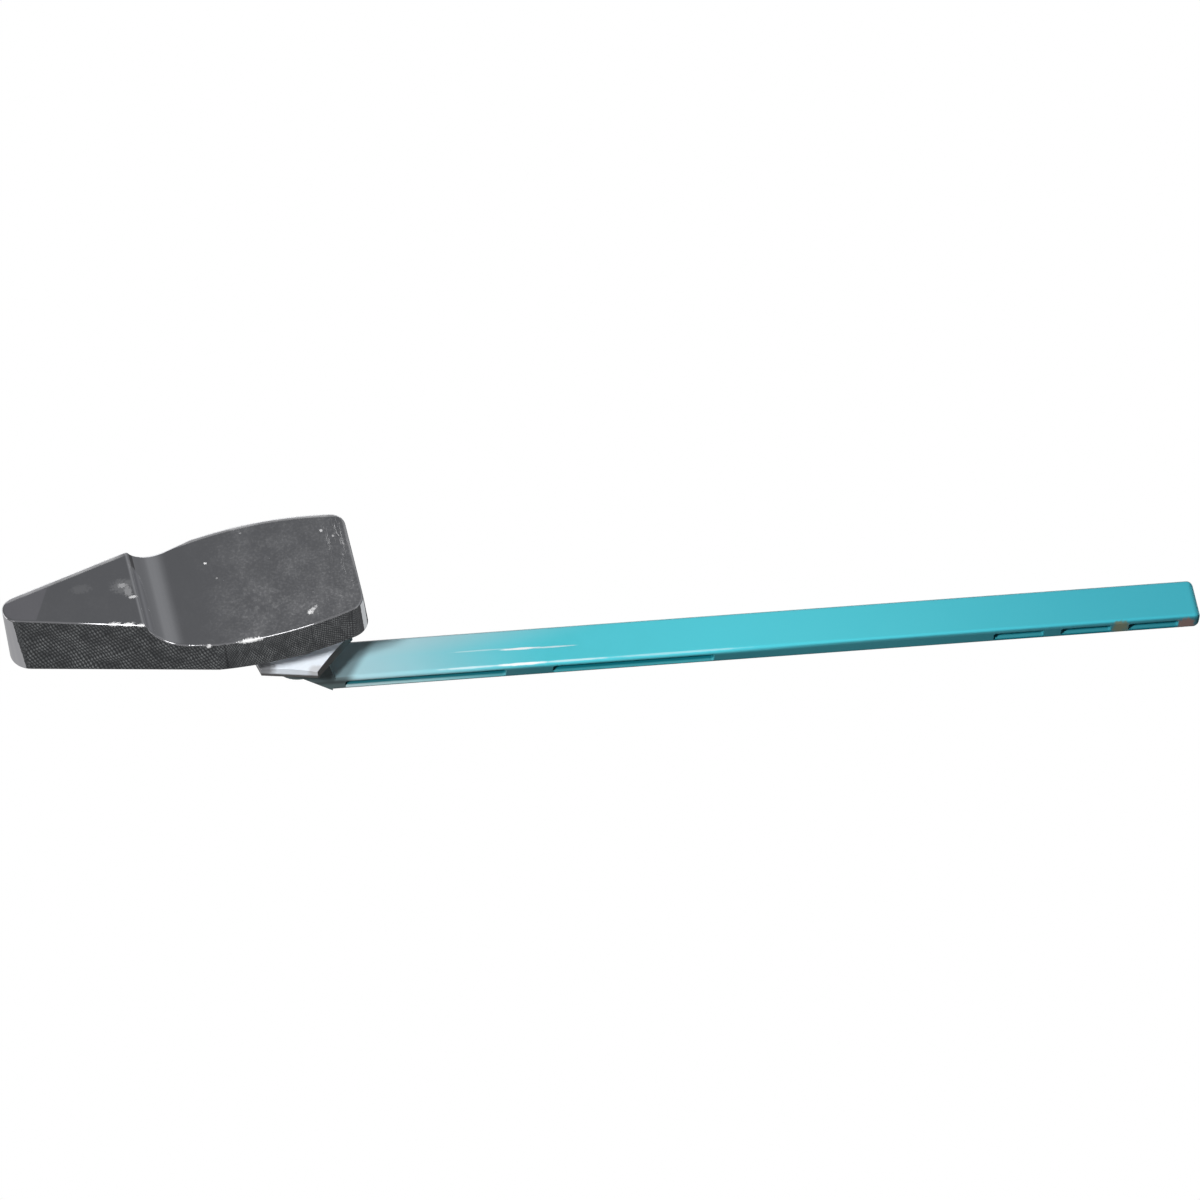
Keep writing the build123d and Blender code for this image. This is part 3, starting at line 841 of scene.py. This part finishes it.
def make_tent():
    """A curved grey sheet round the front, right and back that the plated faces mirror."""
    material, tree, glow = start_glow("grey_tent")
    place = axes(tree, put(tree, "ShaderNodeTexCoord").outputs["Object"])
    bearing = reckon(tree, "ARCTAN2", place["Y"], place["X"])
    first, last = math.radians(TENT_START), math.radians(TENT_START + TENT_SWEEP)
    share = put(tree, "ShaderNodeMapRange", {"Value": bearing, "From Min": first, "From Max": last})
    shades = put(tree, "ShaderNodeValToRGB", {0: share.outputs["Result"]})
    ramp = shades.color_ramp
    while len(ramp.elements) < len(TENT_SHADES):
        ramp.elements.new(0.5)
    for element, (angle, grey) in zip(ramp.elements, TENT_SHADES):
        element.position = (angle - TENT_START) / TENT_SWEEP
        element.color = colour(grey - 1, grey, grey + 2)
    tree.links.new(shades.outputs[0], glow.inputs["Color"])
    points, faces = [], []
    for i in range(TENT_PANELS + 1):
        angle = math.radians(TENT_START + TENT_SWEEP * i / TENT_PANELS)
        x, y = TENT_RADIUS * math.cos(angle), TENT_RADIUS * math.sin(angle)
        points += [(x, y, TENT_FOOT), (x, y, ROOF_HEIGHT)]
        if i:
            faces.append((2 * i - 2, 2 * i, 2 * i + 1, 2 * i - 1))
    only_in_reflections(make_sheet("tent", points, material, faces))


def make_roof():
    material = make_clouded_glow("grey_roof", 200.0, colour(236, 236, 238), colour(226, 226, 228))
    only_in_reflections(make_sheet("roof", level_corners(ROOF_SIDE, ROOF_HEIGHT), material))


def make_woven_card():
    """A dark woven cloth below and behind, which the plated side walls mirror."""
    material, tree, glow = start_glow("dark_weave")
    turned = put(tree, "ShaderNodeMapping", {"Vector": millimetres(tree), "Rotation": (0, WEAVE_SLANT, 0)})
    place = axes(tree, turned.outputs[0])
    sway = use(tree, smudges, {"Size": 6.0, "Low": 0.0, "High": 1.0, "Warp": 0.0})
    drift = spread(tree, sway, 0.0, WEAVE_DRIFT)
    shifted = reckon(tree, "ADD", place["X"], drift)
    lowered = reckon(tree, "SUBTRACT", place["Z"], drift)
    warp = reckon(tree, "SINE", product(tree, shifted, math.tau / WEAVE_ACROSS))
    weft = reckon(tree, "SINE", product(tree, lowered, math.tau / WEAVE_RISE))
    crossing = reckon(tree, "ADD", product(tree, warp, WARP_SHARE), product(tree, weft, WEFT_SHARE))
    worn = use(tree, smudges, {"Size": 3.0, "Low": 0.2, "High": 0.8, "Warp": 0.3})
    thread = product(tree, fade(tree, crossing, -0.1, 0.7), spread(tree, worn, 0.25, 1.0))
    tree.links.new(tint(tree, thread, WEAVE_GAP, WEAVE_THREAD), glow.inputs["Color"])
    corners = upright_corners((-0.35, 0.3), (-0.4, -0.03), 0.035)
    only_in_reflections(make_sheet("woven_card", corners, material))


def make_window_card():
    """A grey card before and below the handle whose bright windows light its lower rim."""
    material, tree, glow = start_glow("window_card")
    place = millimetres(tree)
    along = axes(tree, place)["X"]
    height = reckon_vector(tree, "DOT_PRODUCT", place, CARD_UPWARD)["Value"]
    shade = CARD_GREY
    for left, right, lower, upper, brightness in RIM_WINDOWS:
        pane = product(
            tree,
            fade(tree, along, left - WINDOW_BLUR, left + WINDOW_BLUR),
            fade(tree, along, right + WINDOW_BLUR, right - WINDOW_BLUR),
            fade(tree, height, lower - WINDOW_BLUR, lower + WINDOW_BLUR),
            fade(tree, height, upper + WINDOW_BLUR, upper - WINDOW_BLUR),
        )
        shade = tint(tree, pane, shade, (brightness, brightness, brightness, 1.0))
    tree.links.new(shade, glow.inputs["Color"])
    lower_edge = CARD_AWAY * CARD_DISTANCE - CARD_UPWARD * CARD_HALF_HEIGHT
    upper_edge = CARD_AWAY * CARD_DISTANCE + CARD_UPWARD * CARD_HALF_HEIGHT
    corners = [
        lower_edge + CARD_LEFT,
        lower_edge + CARD_RIGHT,
        upper_edge + CARD_RIGHT,
        upper_edge + CARD_LEFT,
    ]
    only_in_reflections(make_sheet("window_card", corners, material))


def make_plain_card(name, x_range, z_range, y, grey):
    """An upright card behind the lever, which the plated side walls mirror."""
    material = make_clouded_glow(
        name, 120.0, colour(grey, grey, grey), colour(grey - 6, grey - 6, grey - 4)
    )
    only_in_reflections(make_sheet(name, upright_corners(x_range, z_range, y), material))


def make_side_card():
    """A small pale card before the arm, which the hub's right end mirrors in place of the arm."""
    material = make_clouded_glow("side_card", 6.0, colour(182, 184, 185), colour(170, 173, 174))
    x, (near, far), (low, high) = SIDE_CARD_X, SIDE_CARD_Y, SIDE_CARD_Z
    corners = [(x, near, low), (x, far, low), (x, far, high), (x, near, high)]
    only_in_reflections(make_sheet("side_card", corners, material))


def make_tip_card():
    """A paler card before the paddle, whose slanting edge shows as a line across the paddle's tip."""
    material = make_clouded_glow("tip_card", 20.0, colour(98, 98, 101), colour(96, 96, 99))
    run = (TIP_LINE_TOP - TIP_LINE_FOOT) * 2
    foot, top = TIP_LINE_FOOT - run + TIP_CARD_AHEAD, TIP_LINE_TOP + run + TIP_CARD_AHEAD
    only_in_reflections(
        make_sheet("tip_card", [foot, top, top + TIP_CARD_REACH, foot + TIP_CARD_REACH], material)
    )


make_camera()
for lamp_row in LAMPS:
    make_soft_light(*lamp_row)
make_world()
make_floor()
make_tent()
make_roof()
make_woven_card()
make_window_card()
make_plain_card("pale_card", (-0.6, -0.05), (-0.3, 0.6), 0.3, 153)
make_plain_card("dark_card", (-0.05, 0.6), (-0.3, 0.6), 0.3, 70)
make_side_card()
make_tip_card()
bpy.context.scene.view_settings.view_transform = "Standard"
